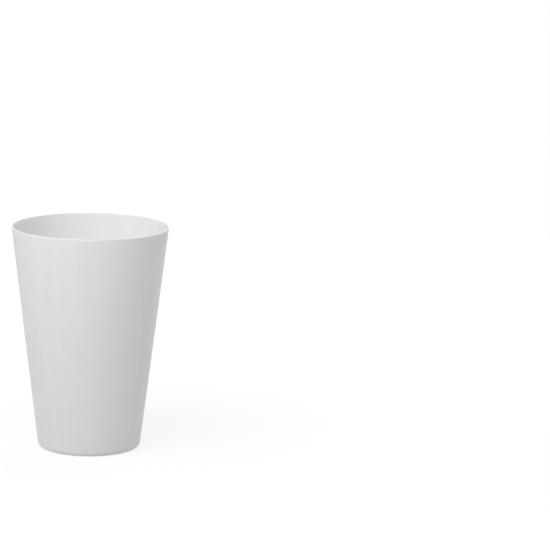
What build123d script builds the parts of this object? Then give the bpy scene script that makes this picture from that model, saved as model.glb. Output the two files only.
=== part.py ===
from build123d import *
from math import atan2, cos, radians, tan
import os

# A tall one-piece drinking cup for cold water, moulded in thin white plastic.
# Millimetres. The origin is the centre of the foot on the table, and +Z runs up the cup's axis.

# Body
rim_diameter = 70.0  # outside, at the widest point of the lip
height = 100.0  # from the table to the top of the lip
foot_diameter = 45.4  # outside, where the line of the wall reaches the table
wall = 0.7  # side wall, square to its surface
lip_break_share = 0.29  # share of the wall by which the lip's two edges are broken

# Foot and base
foot_radius = 2.5  # outside round between the wall and the table
foot_ring = 1.5  # width of the flat ring that stands on the table
base_thickness = 0.8  # ring, step and floor
recess_depth = 1.5  # how far the floor is lifted off the table
step_slope = 60.0  # degrees from the table, of the step between the ring and the floor

# Gate mark, the small stub at the centre of the underside where the plastic came in
gate_diameter = 2.4
gate_height = 0.3


def half_section():
    """Corners of the half section, up the outside from the gate, over the lip and down the inside.

    Each corner is its radius from the axis, its height and the radius of its rounding.
    """
    foot_r = foot_diameter / 2
    rim_r = rim_diameter / 2

    # The lip's edges are broken evenly, so that its section is close to a full round
    lip_break = lip_break_share * wall
    lip_z = height - lip_break
    taper = atan2(rim_r - foot_r, lip_z)
    rim_inner_r = rim_r - wall / cos(taper)

    # The ring keeps its flat width between the foot's round and the step
    foot_corner = radians(90) + taper
    ring_inner_r = foot_r - foot_radius / tan(foot_corner / 2) - foot_ring
    slope = radians(step_slope)
    floor_r = ring_inner_r - recess_depth / tan(slope)

    # The inside follows the outside at the thickness of the wall and of the base
    foot_inner_r = rim_inner_r - (lip_z - base_thickness) * tan(taper)
    step_shift = base_thickness * tan(slope / 2)
    floor_z = recess_depth + base_thickness

    gate_r = gate_diameter / 2
    gate_z = recess_depth - gate_height

    return [
        (0, gate_z, 0),
        (gate_r, gate_z, 0),
        (gate_r, recess_depth, 0),
        (floor_r, recess_depth, 0),
        (ring_inner_r, 0, 0),
        (foot_r, 0, foot_radius),
        (rim_r, lip_z, 0),
        (rim_r - lip_break, height, 0),
        (rim_inner_r + lip_break, height, 0),
        (rim_inner_r, lip_z, 0),
        (foot_inner_r, base_thickness, foot_radius - wall),
        (ring_inner_r + step_shift, base_thickness, 0),
        (floor_r + step_shift, floor_z, 0),
        (0, floor_z, 0),
    ]


def make_cup():
    """The whole cup: its half section turned about +Z."""
    corners = half_section()
    points = [(r, z) for r, z, _ in corners]
    radii = [radius for _, _, radius in corners[1:-1]]
    with BuildPart() as cup:
        with BuildSketch(Plane.XZ):
            with BuildLine():
                skin = FilletPolyline(*points, radius=radii)
                Line(skin @ 1, skin @ 0)
            make_face()
        revolve(axis=Axis.Z)
    return cup.part


os.makedirs("parts", exist_ok=True)
export_step(make_cup(), "parts/cup.step")
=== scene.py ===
"""A tall one-piece drinking cup for cold water, in milky white plastic, on a plain white stage.

Lengths are in metres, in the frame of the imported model: the origin is the centre of the foot on the
table, and +Z runs up the cup's axis.
"""

from math import pi, radians, sin
from types import SimpleNamespace

import bmesh
import bpy
from bpy.props import FloatProperty, FloatVectorProperty, IntProperty, PointerProperty
from mathutils import Matrix, Vector


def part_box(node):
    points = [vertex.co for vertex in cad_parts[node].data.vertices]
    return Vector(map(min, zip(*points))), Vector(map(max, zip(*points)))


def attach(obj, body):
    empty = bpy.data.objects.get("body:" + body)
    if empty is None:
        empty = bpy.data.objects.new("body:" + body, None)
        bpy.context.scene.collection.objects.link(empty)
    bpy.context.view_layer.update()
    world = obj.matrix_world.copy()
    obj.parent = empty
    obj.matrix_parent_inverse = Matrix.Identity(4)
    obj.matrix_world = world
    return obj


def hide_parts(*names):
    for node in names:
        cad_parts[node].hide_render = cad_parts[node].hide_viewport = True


bl_info = {
    "name": "Milky Plastic Cup",
    "version": (1, 0, 0),
    "blender": (4, 5, 0),
    "location": "View3D > Sidebar > Cup",
    "description": "Moulds a thin tapered drinking cup and sets it on a white stage",
    "category": "Add Mesh",
}

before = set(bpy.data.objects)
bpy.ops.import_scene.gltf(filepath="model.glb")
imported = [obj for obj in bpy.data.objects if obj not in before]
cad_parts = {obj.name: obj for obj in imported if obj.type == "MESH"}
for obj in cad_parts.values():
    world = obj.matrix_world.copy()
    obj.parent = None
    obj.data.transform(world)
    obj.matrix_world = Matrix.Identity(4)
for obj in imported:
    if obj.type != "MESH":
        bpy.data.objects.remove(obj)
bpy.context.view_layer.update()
CUP_LOW, CUP_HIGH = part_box("cup")

QUARTER_TURN = pi / 2
FULL_TURN = 2 * pi
WHITE = (1, 1, 1, 1)

# Points nearer than this at the two poles are one point
POLE_GAP = 1e-6

# The part of a place that lies across the axis
ACROSS = (1, 1, 0)

# Scale of the place that the streaks' noise reads, which draws them out up the cup
STREAK_STRETCH = (1, 1, 0.08)

# Levels of that noise between which a streak's soft edge lies
STREAK_EDGE = (0.35, 0.65)

# Red, green and blue light spread equally far inside the plastic
EVEN_GLOW = (1, 1, 1)

# Sides of the round floor
FLOOR_SIDES = 64


def length(name, description, default):
    """A length property, in metres."""
    return FloatProperty(
        name=name, description=description, default=default, min=0, precision=5, subtype="DISTANCE"
    )


def angle(name, description, degrees):
    """An angle property, given in degrees and held in radians."""
    return FloatProperty(name=name, description=description, default=radians(degrees), subtype="ANGLE")


def share(name, description, default):
    """A property from 0 to 1."""
    return FloatProperty(
        name=name, description=description, default=default, min=0, max=1, subtype="FACTOR"
    )


def amount(name, description, default):
    """A plain number, 0 or more."""
    return FloatProperty(name=name, description=description, default=default, min=0)


def count(name, description, default):
    """A whole number."""
    return IntProperty(name=name, description=description, default=default, min=1)


class CupSizes(bpy.types.PropertyGroup):
    """Sizes of the moulded cup."""

    rim_diameter: length("Rim Diameter", "Outside, at the lip's widest point", 2 * max(CUP_HIGH.xy))
    height: length("Height", "From the table to the top of the lip", CUP_HIGH.z - CUP_LOW.z)
    foot_diameter: length("Foot Diameter", "Outside, where the wall's line reaches the table", 0.0454)
    wall: length("Wall", "Thickness of the side wall", 0.0007)
    lip_share: share("Lip Share", "Rounding of each edge of the lip, as a share of the wall", 0.3)
    foot_radius: length("Foot Radius", "Outside round between the wall and the table", 0.0025)
    foot_ring: length("Foot Ring", "Width of the ring that stands on the table", 0.0015)
    base_thickness: length("Base Thickness", "Thickness of the ring, step and floor", 0.0008)
    recess_depth: length("Recess Depth", "How far the floor is lifted off the table", 0.0015)
    step_slope: angle("Step Slope", "Slope of the step between the ring and the floor", 60)
    step_bend: length("Step Bend", "Inner radius of the step's two bends", 0.0004)
    gate_diameter: length("Gate Diameter", "Stub where the plastic came into the mould", 0.0024)
    gate_height: length("Gate Height", "How far the stub stands off the underside", 0.0003)
    gate_share: share("Gate Share", "Rounding of the stub's edges, as a share of its height", 0.4)
    segments: count("Segments", "Faces round the cup", 256)
    round_steps: count("Round Steps", "Points added along each rounding", 10)
    row_pitch: length("Row Pitch", "Longest face up the wall", 0.002)


class CupFinish(bpy.types.PropertyGroup):
    """Colour and surface of the milky plastic."""

    colour: FloatVectorProperty(
        name="Colour", description="Milky white, before light is lost through the wall",
        default=(0.92, 0.92, 0.918), min=0, max=1, subtype="COLOR",
    )
    flow: share("Flow", "How much darker the faint flow streaks are", 0.02)
    streak: length("Streak", "Width of a flow streak", 0.006)
    patch: length("Patch", "Size of the patches over which the satin varies", 0.003)
    roughness: share("Roughness", "Mean roughness of the satin skin", 0.45)
    roughness_spread: share("Roughness Spread", "How far the roughness varies either way", 0.08)
    gloss: share("Gloss", "Strength of the skin's reflections", 0.25)
    grain: length("Grain", "Size of the skin's fine grain", 0.0002)
    grain_depth: length("Grain Depth", "Depth of the skin's fine grain", 0.000004)
    mark_pitch: length("Mark Pitch", "Spacing of the turned marks on the base", 0.0006)
    mark_depth: length("Mark Depth", "Depth of the turned marks on the base", 0.000006)
    mark_reach: length("Mark Reach", "Radius of the turned middle of the base", 0.0175)
    glow: share("Glow", "How much light spreads inside the thin wall", 1.0)
    glow_reach: length("Glow Reach", "How far light spreads inside the plastic", 0.0012)


class CupStage(bpy.types.PropertyGroup):
    """Camera, light and floor."""

    camera_place: FloatVectorProperty(
        name="Camera Place", description="Where the camera stands",
        default=(0.0823, -1.3992, 0.3465), subtype="TRANSLATION", unit="LENGTH",
    )
    camera_dip: angle("Camera Dip", "How far the camera looks down", 10.81)
    camera_roll: angle("Camera Roll", "How far the camera leans to its left", 1.03)
    camera_lens: FloatProperty(
        name="Camera Lens", description="Focal length on a 36 mm sensor",
        default=209.45, min=1, unit="CAMERA",
    )
    key_azimuth: angle("Key Azimuth", "Side that the key light comes from, from the front", -28)
    key_height: angle("Key Height", "Height of the key light above the cup's middle", 54)
    key_strength: amount("Key Strength", "How bright it makes a white sheet that faces it at the cup", 0.61)
    back_azimuth: angle("Back Azimuth", "Side that the back light comes from, from the front", 160)
    back_height: angle("Back Height", "Height of the back light above the cup's middle", 20)
    back_strength: amount("Back Strength", "How bright it makes a white sheet that faces it at the cup", 0.3)
    panel_distance: length("Panel Distance", "From the cup's middle to each light", 0.55)
    panel_size: length("Panel Size", "Side of each light's square face", 0.45)
    fill_strength: amount("Fill Strength", "Light from all round", 0.4)
    floor_radius: length("Floor Radius", "Size of the floor", 6.0)
    floor_bounce: share("Floor Bounce", "Light that the floor throws back on the cup", 0.75)
    floor_shade: share("Floor Shade", "How dark the cup's shadow on the floor can get", 0.2)
    floor_reach: length("Floor Reach", "How far from the axis the two lights fade out on the floor", 0.4)


class Number:
    """A number inside a node tree, so that sizes are worked out in plain sums."""

    def __init__(self, tree, socket):
        self.tree = tree
        self.socket = socket

    def work_out(self, operation, *operands):
        """A Math node on the operands."""
        node = self.tree.nodes.new("ShaderNodeMath")
        node.operation = operation
        for entry, operand in zip(node.inputs, operands):
            feed(self.tree, entry, operand)
        return Number(self.tree, node.outputs[0])

    def __add__(self, other):
        return self.work_out("ADD", self, other)

    def __sub__(self, other):
        return self.work_out("SUBTRACT", self, other)

    def __rsub__(self, other):
        return self.work_out("SUBTRACT", other, self)

    def __mul__(self, other):
        return self.work_out("MULTIPLY", self, other)

    def __truediv__(self, other):
        return self.work_out("DIVIDE", self, other)

    def sine(self):
        return self.work_out("SINE", self)

    def cosine(self):
        return self.work_out("COSINE", self)

    def tangent(self):
        return self.work_out("TANGENT", self)

    def whole(self):
        return self.work_out("FLOOR", self)


def slope_angle(rise, run):
    """The angle of a slope, in radians."""
    return rise.work_out("ARCTAN2", rise, run)


def feed(tree, entry, value):
    """Links a node's input to a value in the tree, or sets it to a plain one."""
    if isinstance(value, Number):
        value = value.socket
    if isinstance(value, bpy.types.NodeSocket):
        tree.links.new(value, entry)
    else:
        entry.default_value = value


def add_node(tree, kind, inputs=None, **settings):
    """A node with its settings made and the given inputs fed, by name or by place."""
    node = tree.nodes.new(kind)
    for name, value in settings.items():
        setattr(node, name, value)
    for name, value in (inputs or {}).items():
        feed(tree, node.inputs[name], value)
    return node


def pick_by_index(tree, kind, values):
    """One of the values for each point, by the point's index."""
    picker = add_node(tree, "GeometryNodeIndexSwitch", data_type=kind)
    while len(picker.index_switch_items) < len(values):
        picker.index_switch_items.new()
    feed(tree, picker.inputs["Index"], add_node(tree, "GeometryNodeInputIndex").outputs[0])
    for position, value in enumerate(values):
        feed(tree, picker.inputs[str(position)], value)
    return picker.outputs[0]


def half_section(size):
    """Corners of the half section, up the outside from the gate, over the lip and down the inside.

    Each corner is its radius from the axis, its height and the radius of its rounding.
    """
    foot_r = size.foot_diameter / 2
    rim_r = size.rim_diameter / 2

    # The wall runs straight up to the lip, where its corner stands just outside the widest point
    lip_round = size.wall * size.lip_share
    taper = slope_angle(rim_r - foot_r, size.height - lip_round)
    wall_across = size.wall / taper.cosine()
    rim_corner_r = foot_r + size.height * taper.tangent()

    # The ring keeps its flat width between the foot's round and the step
    ring_outer_r = foot_r - size.foot_radius / ((taper + QUARTER_TURN) / 2).tangent()
    ring_inner_r = ring_outer_r - size.foot_ring
    floor_r = ring_inner_r - size.recess_depth / size.step_slope.tangent()

    # The inside follows the outside at the thickness of the wall and of the base
    foot_inner_r = foot_r + size.base_thickness * taper.tangent() - wall_across
    step_shift = size.base_thickness * (size.step_slope / 2).tangent()
    floor_z = size.recess_depth + size.base_thickness
    wide_bend = size.step_bend + size.base_thickness

    gate_r = size.gate_diameter / 2
    gate_z = size.recess_depth - size.gate_height
    gate_round = size.gate_height * size.gate_share

    return [
        (0, gate_z, 0),
        (gate_r, gate_z, gate_round),
        (gate_r, size.recess_depth, gate_round),
        (floor_r, size.recess_depth, size.step_bend),
        (ring_inner_r, 0, wide_bend),
        (foot_r, 0, size.foot_radius),
        (rim_corner_r, size.height, lip_round),
        (rim_corner_r - wall_across, size.height, lip_round),
        (foot_inner_r, size.base_thickness, size.foot_radius - size.wall),
        (ring_inner_r + step_shift, size.base_thickness, size.step_bend),
        (floor_r + step_shift, floor_z, wide_bend),
        (0, floor_z, 0),
    ]


def section_curve(tree, size, turn_r):
    """The rounded half section, placed to be turned along a circle of radius turn_r."""
    corners = half_section(size)
    places = []
    for radius, height, _ in corners:
        place = add_node(tree, "ShaderNodeCombineXYZ", {"X": radius - turn_r, "Y": 0 - height})
        places.append(place.outputs[0])
    points = add_node(tree, "GeometryNodePoints", {
        "Count": len(corners),
        "Position": pick_by_index(tree, "VECTOR", places),
        "Radius": pick_by_index(tree, "FLOAT", [rounding for _, _, rounding in corners]),
    })
    line = add_node(tree, "GeometryNodePointsToCurves", {"Points": points.outputs[0]})
    rounded = add_node(tree, "GeometryNodeFilletCurve", {
        "Curve": line.outputs[0],
        "Count": size.round_steps,
        "Radius": add_node(tree, "GeometryNodeInputRadius").outputs[0],
    }, mode="POLY")

    # Long straight runs are cut into rows, so that shading stays true beside the roundings
    here = add_node(tree, "GeometryNodeInputPosition").outputs[0]
    index = Number(tree, add_node(tree, "GeometryNodeInputIndex").outputs[0])
    ahead = add_node(tree, "GeometryNodeFieldAtIndex", {
        "Value": here,
        "Index": index + 1,
    }, data_type="FLOAT_VECTOR", domain="POINT")
    run = add_node(tree, "ShaderNodeVectorMath", {
        0: here,
        1: ahead.outputs["Value"],
    }, operation="DISTANCE")
    cut = add_node(tree, "GeometryNodeSubdivideCurve", {
        "Curve": rounded.outputs[0],
        "Cuts": (Number(tree, run.outputs["Value"]) / size.row_pitch).whole(),
    })
    return cut.outputs[0]


def lathe_tree():
    """A node tree that turns the half section about +Z, with a named input for each size of the cup."""
    tree = bpy.data.node_groups.new("Cup Lathe", "GeometryNodeTree")
    tree.is_modifier = True
    names = {}
    for key in CupSizes.__annotations__:
        rule = CupSizes.bl_rna.properties[key]
        kind = "NodeSocketInt" if rule.type == "INT" else "NodeSocketFloat"
        entry = tree.interface.new_socket(rule.name, description=rule.description, socket_type=kind)
        entry.default_value = rule.default
        if rule.subtype in ("DISTANCE", "ANGLE"):
            entry.subtype = rule.subtype
        names[key] = rule.name
    tree.interface.new_socket("Material", socket_type="NodeSocketMaterial")
    tree.interface.new_socket("Cup", in_out="OUTPUT", socket_type="NodeSocketGeometry")

    given = add_node(tree, "NodeGroupInput").outputs
    size = SimpleNamespace(**{key: Number(tree, given[name]) for key, name in names.items()})
    turn_r = size.rim_diameter / 2
    circle = add_node(tree, "GeometryNodeCurvePrimitiveCircle", {
        "Resolution": size.segments,
        "Radius": turn_r,
    })
    turned = add_node(tree, "GeometryNodeCurveToMesh", {
        "Curve": circle.outputs["Curve"],
        "Profile Curve": section_curve(tree, size, turn_r),
    })
    outward = add_node(tree, "GeometryNodeFlipFaces", {"Mesh": turned.outputs[0]})
    closed = add_node(tree, "GeometryNodeMergeByDistance", {
        "Geometry": outward.outputs[0],
        "Distance": POLE_GAP,
    })
    smooth = add_node(tree, "GeometryNodeSetShadeSmooth", {"Geometry": closed.outputs[0]})
    whole = add_node(tree, "GeometryNodeRealizeInstances", {"Geometry": smooth.outputs[0]})
    coated = add_node(tree, "GeometryNodeSetMaterial", {
        "Geometry": whole.outputs[0],
        "Material": given["Material"],
    })
    add_node(tree, "NodeGroupOutput", {"Cup": coated.outputs[0]})
    return tree


def distance_from_axis(tree, place):
    """How far a place lies from the cup's axis."""
    flat = add_node(tree, "ShaderNodeVectorMath", {0: place, 1: ACROSS}, operation="MULTIPLY")
    reach = add_node(tree, "ShaderNodeVectorMath", {0: flat.outputs[0]}, operation="LENGTH")
    return Number(tree, reach.outputs["Value"])


def noise(tree, place, size):
    """A noise from 0 to 1, in lumps of about the given size."""
    return add_node(tree, "ShaderNodeTexNoise", {"Vector": place, "Scale": 1 / size}).outputs["Fac"]


def flow_streaks(tree, place, finish):
    """The plastic's colour, a little darker in streaks up the wall, as it flowed from the gate."""
    along = add_node(tree, "ShaderNodeMapping", {"Vector": place, "Scale": STREAK_STRETCH})
    level = noise(tree, along.outputs[0], finish.streak)
    tint = add_node(tree, "ShaderNodeValToRGB", {"Fac": level})
    colour = Vector(finish.colour)
    shades = (colour * (1 - finish.flow), colour)
    for stop, edge, shade in zip(tint.color_ramp.elements, STREAK_EDGE, shades):
        stop.position = edge
        stop.color = (*shade, 1)
    return tint.outputs["Color"]


def satin(tree, place, finish):
    """A roughness that varies a little from patch to patch."""
    spread = add_node(tree, "ShaderNodeMapRange", {
        "Value": noise(tree, place, finish.patch),
        "To Min": finish.roughness - finish.roughness_spread,
        "To Max": finish.roughness + finish.roughness_spread,
    })
    return spread.outputs["Result"]


def skin_relief(tree, place, finish):
    """A fine grain all over, and turned marks on both faces of the base."""
    grained = add_node(tree, "ShaderNodeBump", {
        "Distance": finish.grain_depth,
        "Height": noise(tree, place, finish.grain),
    })
    radius = distance_from_axis(tree, place)
    is_turned = radius.work_out("LESS_THAN", radius, finish.mark_reach)
    marked = add_node(tree, "ShaderNodeBump", {
        "Distance": finish.mark_depth,
        "Height": (radius * (FULL_TURN / finish.mark_pitch)).sine() * is_turned,
        "Normal": grained.outputs["Normal"],
    })
    return marked.outputs["Normal"]


def milky_plastic(finish):
    """Satin, milky polypropylene that lets a little light through."""
    material = bpy.data.materials.new("milky_plastic")
    material.use_nodes = True
    tree = material.node_tree
    place = add_node(tree, "ShaderNodeTexCoord").outputs["Object"]
    shader = tree.nodes["Principled BSDF"]
    for name, value in {
        "Base Color": flow_streaks(tree, place, finish),
        "Roughness": satin(tree, place, finish),
        "Normal": skin_relief(tree, place, finish),
        "Specular IOR Level": finish.gloss,
        "Subsurface Weight": finish.glow,
        "Subsurface Radius": EVEN_GLOW,
        "Subsurface Scale": finish.glow_reach,
    }.items():
        feed(tree, shader.inputs[name], value)
    return material


def check_shell(shell):
    """Stops the work if the shell is open or inside out."""
    work = bmesh.new()
    work.from_mesh(shell)
    is_closed = all(edge.is_manifold for edge in work.edges)
    volume = work.calc_volume(signed=True)
    work.free()
    if not is_closed or volume <= 0:
        raise RuntimeError(f"the shell is open or inside out: volume {volume:.3g} m3")


class CUP_OT_mould(bpy.types.Operator):
    """Turns the cup's half section into one closed shell, in milky plastic"""

    bl_idname = "cup.mould"
    bl_label = "Mould Cup"

    def execute(self, context):
        sizes = context.scene.cup_sizes
        cup = bpy.data.objects.new("moulded_cup", bpy.data.meshes.new("blank"))
        context.collection.objects.link(cup)
        lathe = cup.modifiers.new("Lathe", "NODES")
        lathe.node_group = lathe_tree()
        entries = {item.name: item.identifier for item in lathe.node_group.interface.items_tree}
        for key in CupSizes.__annotations__:
            lathe[entries[CupSizes.bl_rna.properties[key].name]] = getattr(sizes, key)
        lathe[entries["Material"]] = milky_plastic(context.scene.cup_finish)

        depsgraph = context.evaluated_depsgraph_get()
        shell = bpy.data.meshes.new_from_object(cup.evaluated_get(depsgraph), depsgraph=depsgraph)
        shell.name = "moulded_cup"
        cup.modifiers.remove(lathe)
        cup.data = shell
        check_shell(shell)
        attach(cup, "root")
        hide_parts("cup")
        return {"FINISHED"}


def seen_directly(tree):
    """1 for rays that show the stage, straight or in a reflection, and 0 for its light on the cup."""
    path = add_node(tree, "ShaderNodeLightPath")
    total = Number(tree, path.outputs["Is Camera Ray"])
    for name in ("Is Glossy Ray", "Is Transmission Ray"):
        total = total.work_out("MAXIMUM", total, path.outputs[name])
    return total


def shown_or_cast(tree, shown, cast):
    """One shader for what is seen of the stage, and another for the light that it casts on the cup."""
    mix = add_node(tree, "ShaderNodeMixShader", {
        "Fac": seen_directly(tree),
        1: cast.outputs[0],
        2: shown.outputs[0],
    })
    return mix.outputs[0]


def grey(level):
    """An even grey, as a shader takes it."""
    return (level, level, level, 1)


def steady_white(tree, stage):
    """The glow that brings the lit floor up to white, weaker near the cup, where the panels light it too."""
    panels = stage.key_strength * sin(stage.key_height) + stage.back_strength * sin(stage.back_height)
    place = add_node(tree, "ShaderNodeTexCoord").outputs["Object"]
    fading = add_node(tree, "ShaderNodeMapRange", {
        "Value": distance_from_axis(tree, place),
        "From Max": stage.floor_reach,
        "To Min": 1 - stage.floor_shade * (stage.fill_strength + panels),
        "To Max": 1 - stage.floor_shade * stage.fill_strength,
    })
    return add_node(tree, "ShaderNodeEmission", {"Strength": fading.outputs["Result"]})


def white_floor(stage):
    """A floor that shows white with the cup's soft shadow on it, and throws plain pale light back."""
    material = bpy.data.materials.new("white_floor")
    material.use_nodes = True
    tree = material.node_tree
    tree.nodes.clear()
    shaded = add_node(tree, "ShaderNodeBsdfDiffuse", {"Color": grey(stage.floor_shade)})
    glow = steady_white(tree, stage)
    shown = add_node(tree, "ShaderNodeAddShader", {0: shaded.outputs[0], 1: glow.outputs[0]})
    bounce = add_node(tree, "ShaderNodeBsdfDiffuse", {"Color": grey(stage.floor_bounce)})
    add_node(tree, "ShaderNodeOutputMaterial", {"Surface": shown_or_cast(tree, shown, bounce)})
    return material


def add_floor(context, stage):
    """A wide round floor at the height of the table."""
    mesh = bpy.data.meshes.new("floor")
    disc = bmesh.new()
    bmesh.ops.create_circle(disc, cap_ends=True, segments=FLOOR_SIDES, radius=stage.floor_radius)
    disc.to_mesh(mesh)
    disc.free()
    mesh.materials.append(white_floor(stage))
    floor = bpy.data.objects.new("floor", mesh)
    context.collection.objects.link(floor)


def add_surround(context, stage):
    """White all round to look at, and a softer even fill to light the cup."""
    world = bpy.data.worlds.new("surround")
    context.scene.world = world
    world.use_nodes = True
    tree = world.node_tree
    tree.nodes.clear()
    shown = add_node(tree, "ShaderNodeBackground", {"Color": WHITE, "Strength": 1})
    fill = add_node(tree, "ShaderNodeBackground", {"Color": WHITE, "Strength": stage.fill_strength})
    add_node(tree, "ShaderNodeOutputWorld", {"Surface": shown_or_cast(tree, shown, fill)})


def add_panel(context, stage, name, azimuth, height, strength):
    """A soft box that faces the cup's middle."""
    light = bpy.data.lights.new(name, "AREA")
    light.size = stage.panel_size

    # Power that makes a white sheet that faces the panel at the cup as bright as the strength says
    light.energy = strength * (pi * stage.panel_distance) ** 2

    panel = bpy.data.objects.new(name, light)
    panel.visible_camera = False
    panel.matrix_world = (
        Matrix.Translation((CUP_LOW + CUP_HIGH) / 2)
        @ Matrix.Rotation(azimuth, 4, "Z")
        @ Matrix.Rotation(QUARTER_TURN - height, 4, "X")
        @ Matrix.Translation((0, 0, stage.panel_distance))
    )
    context.collection.objects.link(panel)


def add_camera(context, stage):
    """The camera at the photograph's viewing angle."""
    lens = bpy.data.cameras.new("camera")
    lens.lens = stage.camera_lens
    camera = bpy.data.objects.new("camera", lens)
    camera.matrix_world = (
        Matrix.Translation(stage.camera_place)
        @ Matrix.Rotation(QUARTER_TURN - stage.camera_dip, 4, "X")
        @ Matrix.Rotation(stage.camera_roll, 4, "Z")
    )
    context.collection.objects.link(camera)
    context.scene.camera = camera


class CUP_OT_stage(bpy.types.Operator):
    """Lays the floor, lights the cup and places the camera"""

    bl_idname = "cup.stage"
    bl_label = "Set Stage"

    def execute(self, context):
        stage = context.scene.cup_stage
        add_floor(context, stage)
        add_surround(context, stage)
        add_panel(context, stage, "key", stage.key_azimuth, stage.key_height, stage.key_strength)
        add_panel(context, stage, "back", stage.back_azimuth, stage.back_height, stage.back_strength)
        add_camera(context, stage)
        context.scene.view_settings.view_transform = "Standard"
        return {"FINISHED"}


class CUP_PT_panel(bpy.types.Panel):
    """Sizes, finish and stage of the cup, and the steps that make it"""

    bl_idname = "CUP_PT_panel"
    bl_label = "Milky Plastic Cup"
    bl_space_type = "VIEW_3D"
    bl_region_type = "UI"
    bl_category = "Cup"

    def draw(self, context):
        for values, operator in (
            (("cup_sizes", "cup_finish"), CUP_OT_mould.bl_idname),
            (("cup_stage",), CUP_OT_stage.bl_idname),
        ):
            box = self.layout.box()
            for value in values:
                group = getattr(context.scene, value)
                for key in type(group).__annotations__:
                    box.prop(group, key)
            box.operator(operator)


CLASSES = (CupSizes, CupFinish, CupStage, CUP_OT_mould, CUP_OT_stage, CUP_PT_panel)
SETTINGS = {"cup_sizes": CupSizes, "cup_finish": CupFinish, "cup_stage": CupStage}


def register():
    """Makes the settings, the steps and the panel known to Blender."""
    for each in CLASSES:
        bpy.utils.register_class(each)
    for name, group in SETTINGS.items():
        setattr(bpy.types.Scene, name, PointerProperty(type=group))


def unregister():
    """Takes them all away again."""
    for name in SETTINGS:
        delattr(bpy.types.Scene, name)
    for each in reversed(CLASSES):
        bpy.utils.unregister_class(each)


def main():
    """Makes the cup and its stage."""
    register()
    bpy.ops.cup.mould()
    bpy.ops.cup.stage()


if __name__ == "__main__":
    main()
